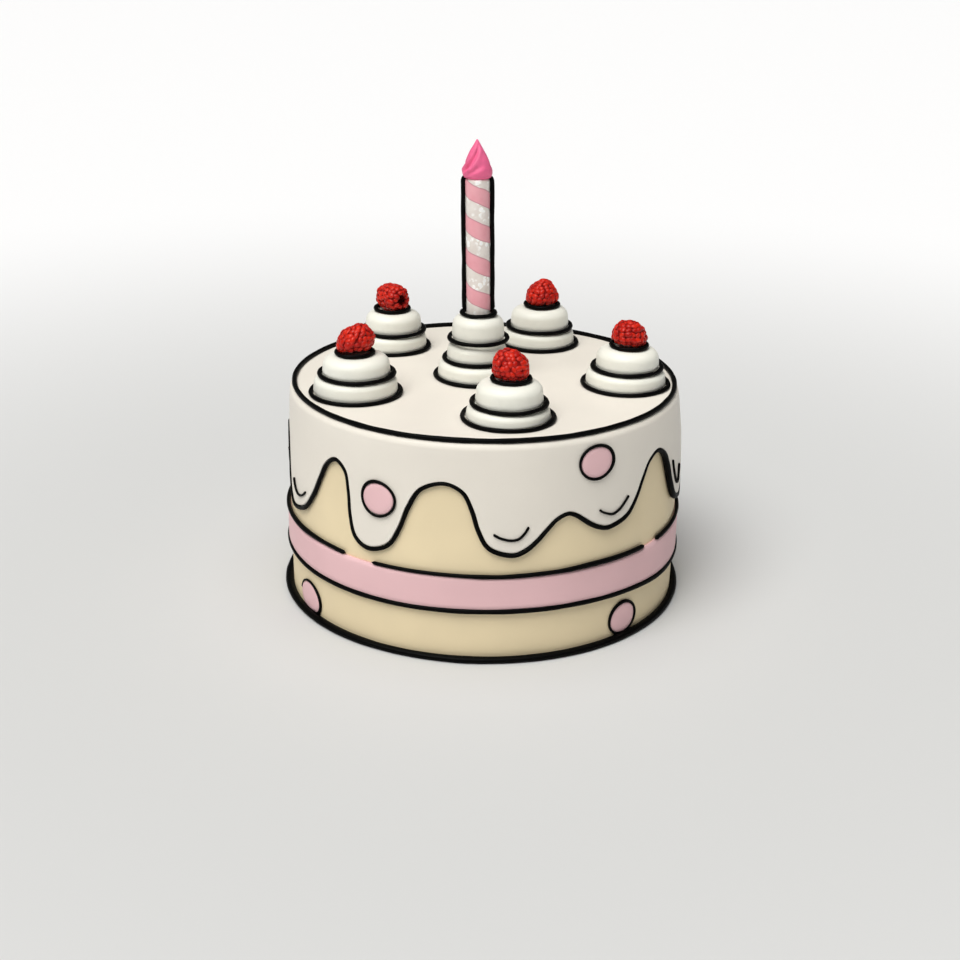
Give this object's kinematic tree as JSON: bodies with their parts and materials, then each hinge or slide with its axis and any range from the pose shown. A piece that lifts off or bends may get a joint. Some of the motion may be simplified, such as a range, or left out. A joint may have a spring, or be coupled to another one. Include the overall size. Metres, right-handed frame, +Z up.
{
  "type": "birthday cake with candle",
  "caption": "Round birthday cake with dripping white icing, a pink waistband, black outlines, stacked rosettes with raspberries and a striped candle; rests on a plate or table",
  "frame": {"origin": "centre of the flat underside of the cake", "axes": "+Z up along the candle; the front of the cake faces -Y; +X is to the right seen from the front"},
  "size_m": [0.188, 0.188, 0.2044],
  "materials": {
    "beige_fondant": "rolled beige sugar fondant, satin, over sponge cake",
    "white_fondant": "rolled warm white sugar fondant, satin",
    "cream_fondant": "thick white sugar fondant with soft pillowed edges, satin",
    "pink_fondant": "rolled pale pink sugar fondant, matt",
    "black_fondant": "rolled black sugar fondant rope, soft gloss",
    "raspberry": "fresh raspberry, moist drupelets",
    "candle_fondant": "sugar candle, white with a pink spiral and a pearly glaze on the white",
    "flame_fondant": "hot pink sugar fondant, matt"
  },
  "bodies": {
    "root": {"base_line": "black_fondant", "berry_ring_back_left": "black_fondant", "berry_ring_back_right": "black_fondant", "berry_ring_front": "black_fondant", "berry_ring_left": "black_fondant", "berry_ring_right": "black_fondant", "cake_body": "beige_fondant", "candle": "candle_fondant", "candle_line": "black_fondant", "candle_ring": "black_fondant", "dot_body_back_left": "pink_fondant", "dot_body_back_right": "pink_fondant", "dot_body_left": "pink_fondant", "dot_body_right": "pink_fondant", "dot_coat_back_left": "pink_fondant", "dot_coat_back_right": "pink_fondant", "dot_coat_left": "pink_fondant", "dot_coat_right": "pink_fondant", "drip_line": "black_fondant", "flame": "flame_fondant", "icing_coat": "white_fondant", "raspberry_back_left": "raspberry", "raspberry_back_right": "raspberry", "raspberry_front": "raspberry", "raspberry_left": "raspberry", "raspberry_right": "raspberry", "rim_line": "black_fondant", "rosette_back_left_disc_1": "cream_fondant", "rosette_back_left_disc_2": "cream_fondant", "rosette_back_left_line_1": "black_fondant", "rosette_back_left_line_2": "black_fondant", "rosette_back_right_disc_1": "cream_fondant", "rosette_back_right_disc_2": "cream_fondant", "rosette_back_right_line_1": "black_fondant", "rosette_back_right_line_2": "black_fondant", "rosette_centre_disc_1": "cream_fondant", "rosette_centre_disc_2": "cream_fondant", "rosette_centre_disc_3": "cream_fondant", "rosette_centre_line_1": "black_fondant", "rosette_centre_line_2": "black_fondant", "rosette_centre_line_3": "black_fondant", "rosette_front_disc_1": "cream_fondant", "rosette_front_disc_2": "cream_fondant", "rosette_front_line_1": "black_fondant", "rosette_front_line_2": "black_fondant", "rosette_left_disc_1": "cream_fondant", "rosette_left_disc_2": "cream_fondant", "rosette_left_line_1": "black_fondant", "rosette_left_line_2": "black_fondant", "rosette_right_disc_1": "cream_fondant", "rosette_right_disc_2": "cream_fondant", "rosette_right_line_1": "black_fondant", "rosette_right_line_2": "black_fondant", "waistband": "pink_fondant", "waistband_line_bottom": "black_fondant", "waistband_line_top_back": "black_fondant", "waistband_line_top_front": "black_fondant"}
  },
  "joints": []
}
